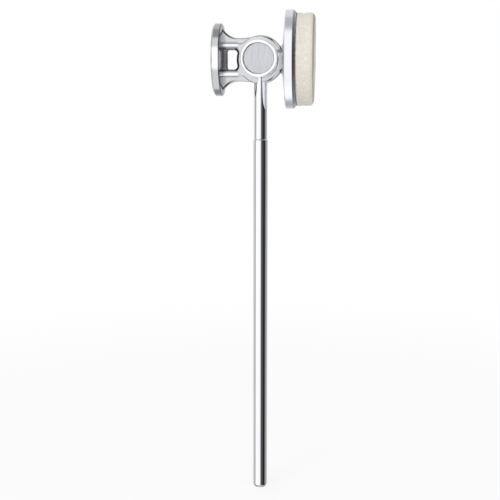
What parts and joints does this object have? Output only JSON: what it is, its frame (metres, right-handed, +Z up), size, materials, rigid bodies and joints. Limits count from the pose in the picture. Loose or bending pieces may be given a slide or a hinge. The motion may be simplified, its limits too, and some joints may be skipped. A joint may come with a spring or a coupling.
{
  "type": "bass drum pedal beater",
  "caption": "Two-sided bass drum beater: chromed stepped shank, windowed alloy head with a hard face, and a round felt pad that levels itself on a cross pivot.",
  "frame": {"origin": "centre of the flat lower end of the shank", "axes": "+Z up along the shank to the head, +X towards the felt face, Y along the pad's pivot"},
  "size_m": [0.0541, 0.052, 0.2655],
  "materials": {
    "chrome_steel": "mirror chrome plating on steel rod",
    "cast_alloy": "bright tumbled casting, softly reflective",
    "plate_alloy": "turned, satin bright",
    "polished_chrome": "polished chrome lip",
    "satin_alloy": "fine linear brushing",
    "turned_steel": "turned",
    "zinc_steel": "zinc plated",
    "spring_steel": "blued spring steel",
    "hard_plastic": "hard moulded plastic, fine grain",
    "bearing_plastic": "natural acetal",
    "adhesive": "brown contact adhesive sheet",
    "wool_felt": "dense pressed wool felt, cream"
  },
  "bodies": {
    "shank": {"shank": "chrome_steel", "head_casting": "cast_alloy", "hard_face": "hard_plastic", "pivot_bush": "bearing_plastic"},
    "pad": {"pivot_core": "turned_steel", "front_thrust_washer": "bearing_plastic", "rear_thrust_washer": "bearing_plastic", "front_spring_washer": "spring_steel", "rear_spring_washer": "spring_steel", "front_cup": "polished_chrome", "rear_cup": "polished_chrome", "front_cup_screws": "zinc_steel", "rear_cup_screws": "zinc_steel", "front_cap": "satin_alloy", "rear_cap": "satin_alloy", "saddle_collar": "cast_alloy", "pad_plate": "plate_alloy", "pad_washer": "zinc_steel", "pad_screw": "zinc_steel", "adhesive_disc": "adhesive", "felt_pad": "wool_felt"}
  },
  "joints": [
    {"name": "pad_tilt", "type": "hinge", "parent": "shank", "child": "pad", "pos_m": [0, 0, 0.2395], "axis": [0, 1, 0], "range_deg": [-5, 5]}
  ]
}
